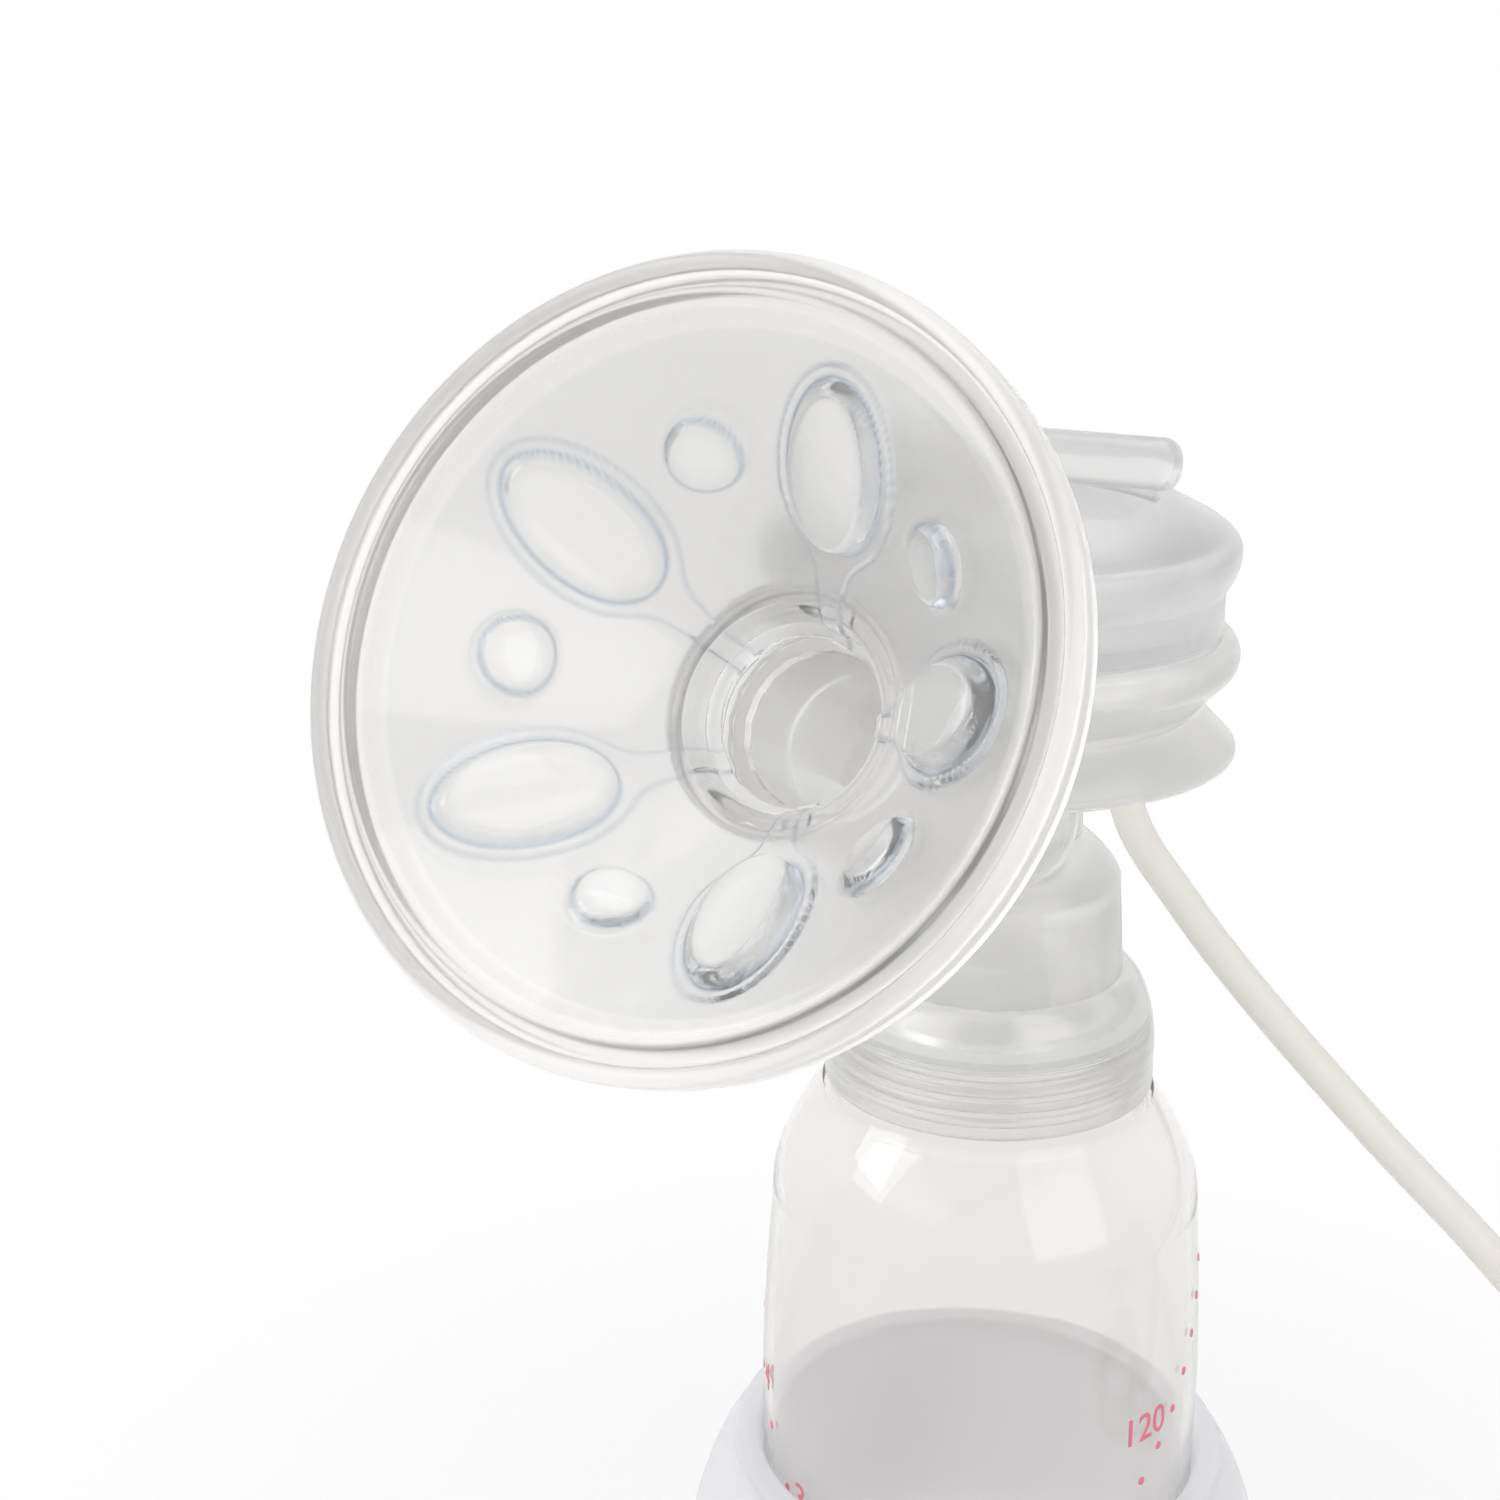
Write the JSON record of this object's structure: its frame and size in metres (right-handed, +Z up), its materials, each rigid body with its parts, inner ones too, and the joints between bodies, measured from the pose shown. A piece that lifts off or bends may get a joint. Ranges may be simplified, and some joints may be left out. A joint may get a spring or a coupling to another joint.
{
  "type": "breast pump",
  "caption": "Collection kit of an electric breast pump: soft petal pad on a shield, pump body on a bottle in a flared stand, suction hose coiled beside it.",
  "frame": {"origin": "middle of the stand's underside, on the bottle's axis", "axes": "+Z up along the bottle; the shield points to -Y and up; the hose leaves at +Y and lies towards +X"},
  "size_m": [0.206, 0.1531, 0.2051],
  "materials": {
    "stand": "satin moulded plastic",
    "bottle": "clear moulded plastic",
    "body": "milky translucent plastic",
    "silicone": "clear silicone",
    "hose": "clear silicone tube",
    "tie": "soft strap"
  },
  "bodies": {
    "stand": {"bottle_stand": "stand"},
    "gasket": {"collar_gasket": "silicone"},
    "bottle": {"bottle": "bottle"},
    "pump_body": {"pump_body": "body", "tunnel_seal": "silicone", "shield_funnel": "body", "duckbill_valve": "silicone"},
    "pad": {"massage_pad": "silicone"},
    "cap": {"diaphragm_cap": "body", "hose": "hose", "hose_coil": "hose", "hose_connector": "body", "coil_tie": "tie"},
    "diaphragm": {"diaphragm": "silicone"},
    "lip_front": {"valve_lip_front": "silicone"},
    "lip_rear": {"valve_lip_rear": "silicone"}
  },
  "joints": [
    {"name": "kit_lift", "type": "slide", "parent": "stand", "child": "gasket", "axis": [0, 0, 1], "range_m": [0, 0.055]},
    {"name": "bottle_turn", "type": "hinge", "parent": "gasket", "child": "bottle", "pos_m": [0, 0, 0.0958], "axis": [0, 0, 1], "range_deg": [-540, 0]},
    {"name": "body_rise", "type": "slide", "parent": "gasket", "child": "pump_body", "axis": [0, 0, 1], "range_m": [0, 0.0068]},
    {"name": "pad_pull", "type": "slide", "parent": "pump_body", "child": "pad", "axis": [0, -0.8988, 0.4384], "range_m": [0, 0.03]},
    {"name": "cap_lift", "type": "slide", "parent": "pump_body", "child": "cap", "axis": [0, 0, 1], "range_m": [0, 0.02]},
    {"name": "diaphragm_flex", "type": "slide", "parent": "pump_body", "child": "diaphragm", "axis": [0, 0, 1], "range_m": [0, 0.005], "stiffness_N_per_m": 100, "deforming": ["diaphragm"]},
    {"name": "lip_front_open", "type": "hinge", "parent": "pump_body", "child": "lip_front", "pos_m": [0, -0.0039, 0.09615], "axis": [-1, 0, 0], "range_deg": [0, 12], "stiffness_Nm_per_rad": 0.0002},
    {"name": "lip_rear_open", "type": "hinge", "parent": "pump_body", "child": "lip_rear", "pos_m": [0, 0.0039, 0.09615], "axis": [1, 0, 0], "range_deg": [0, 12], "stiffness_Nm_per_rad": 0.0002}
  ],
  "couplings": [
    {"joint": "body_rise", "follows": "bottle_turn", "m_per_rad": -0.0007162},
    {"joint": "lip_rear_open", "follows": "lip_front_open", "ratio": 1}
  ]
}
